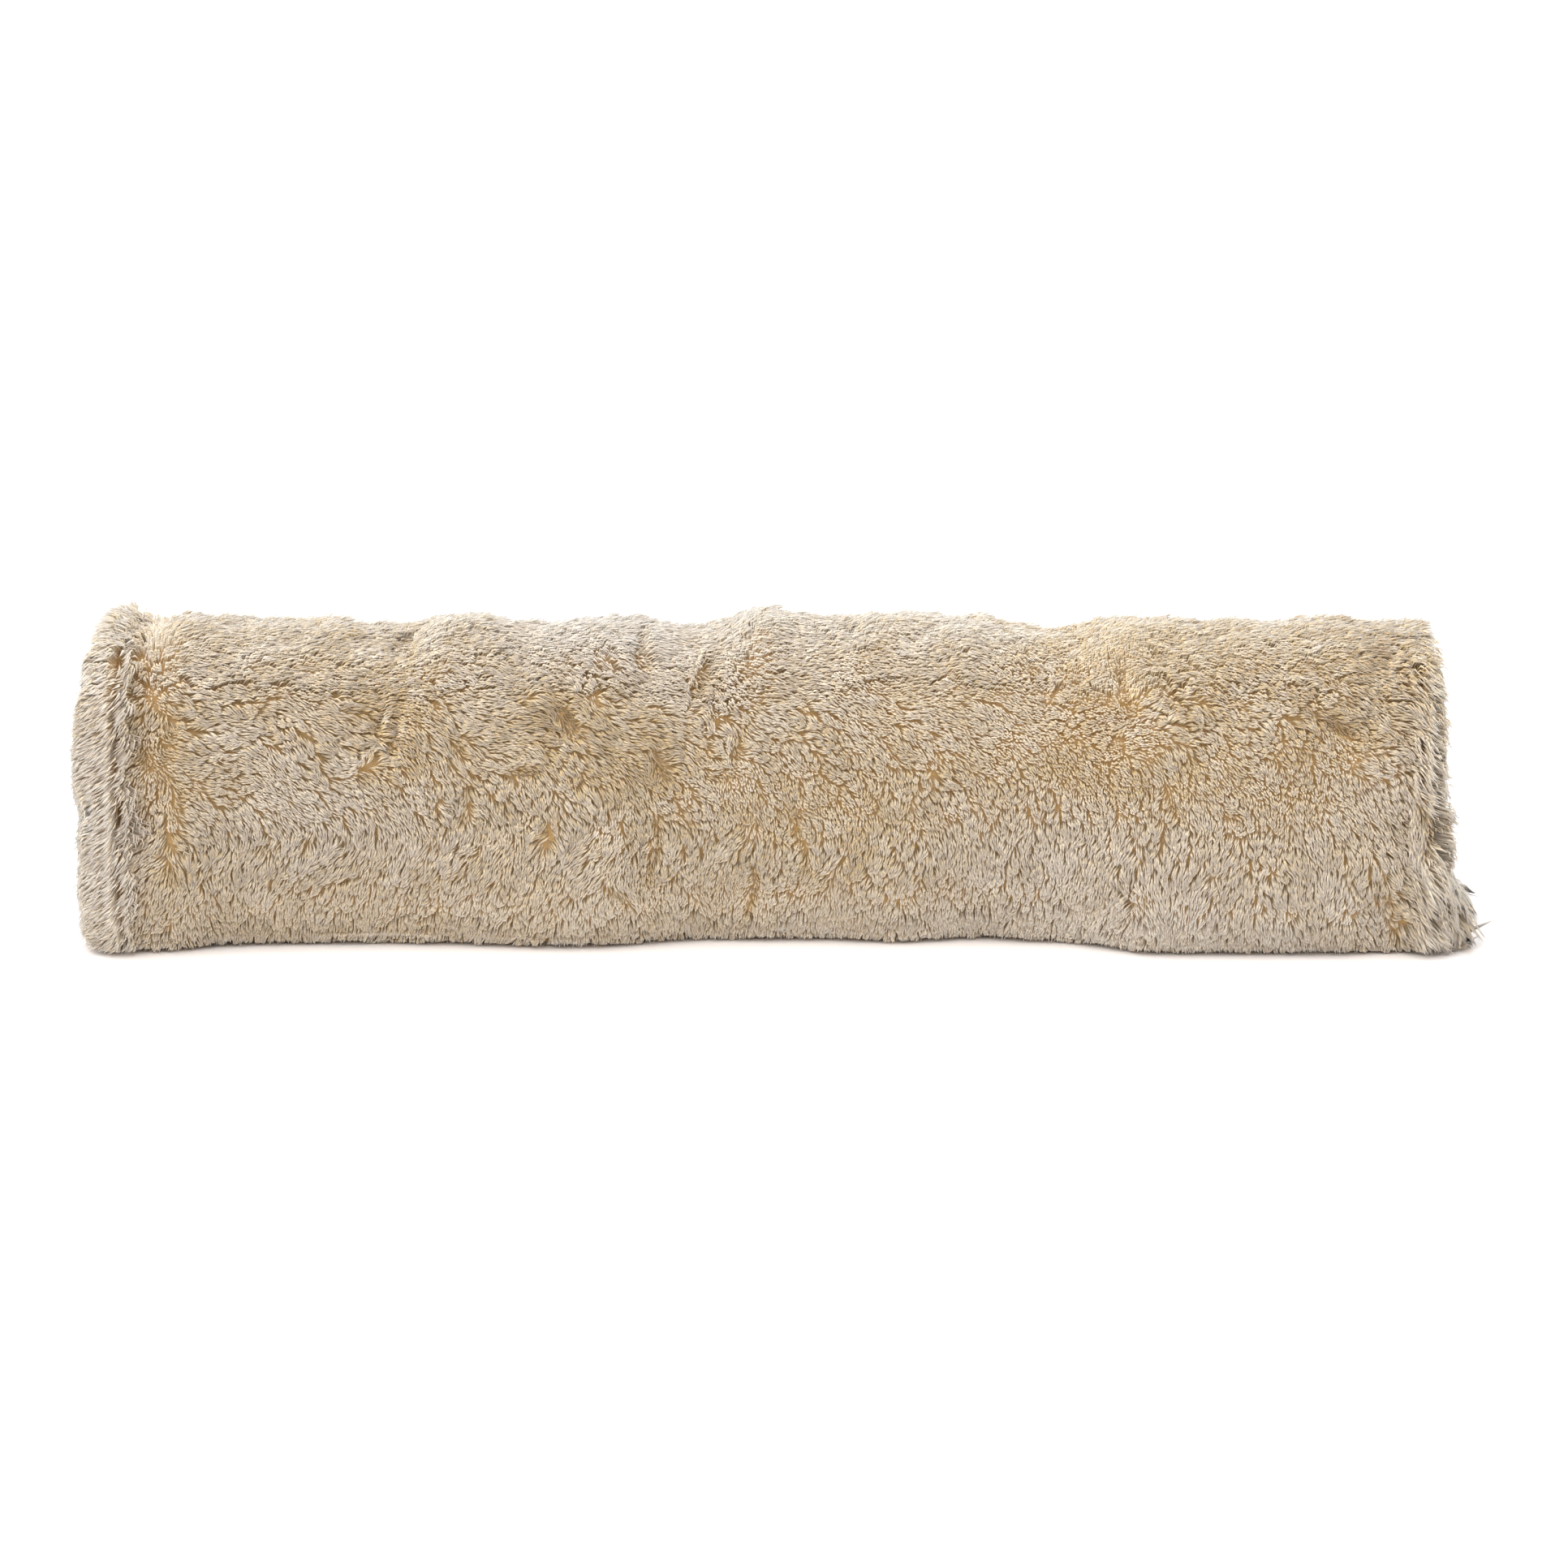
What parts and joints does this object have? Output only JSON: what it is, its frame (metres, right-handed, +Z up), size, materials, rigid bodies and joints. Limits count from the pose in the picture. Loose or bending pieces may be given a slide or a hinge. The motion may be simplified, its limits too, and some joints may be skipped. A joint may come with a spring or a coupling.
{
  "type": "draught excluder",
  "caption": "Long filled tube of clipped sheepskin with sewn-in end panels, laid on the floor along the foot of a door to stop draughts.",
  "frame": {"origin": "on the floor, under the middle of the bounding box", "axes": "+X along the tube towards the right end in the picture, -Y towards the viewer, +Z up"},
  "size_m": [0.8916, 0.1894, 0.2079],
  "materials": {
    "sheepskin_wool": "clipped sheepskin wool, matt, pale beige with ochre depths"
  },
  "bodies": {
    "root": {"tube": "sheepskin_wool", "end_panel_left": "sheepskin_wool", "end_panel_right": "sheepskin_wool"}
  },
  "joints": []
}
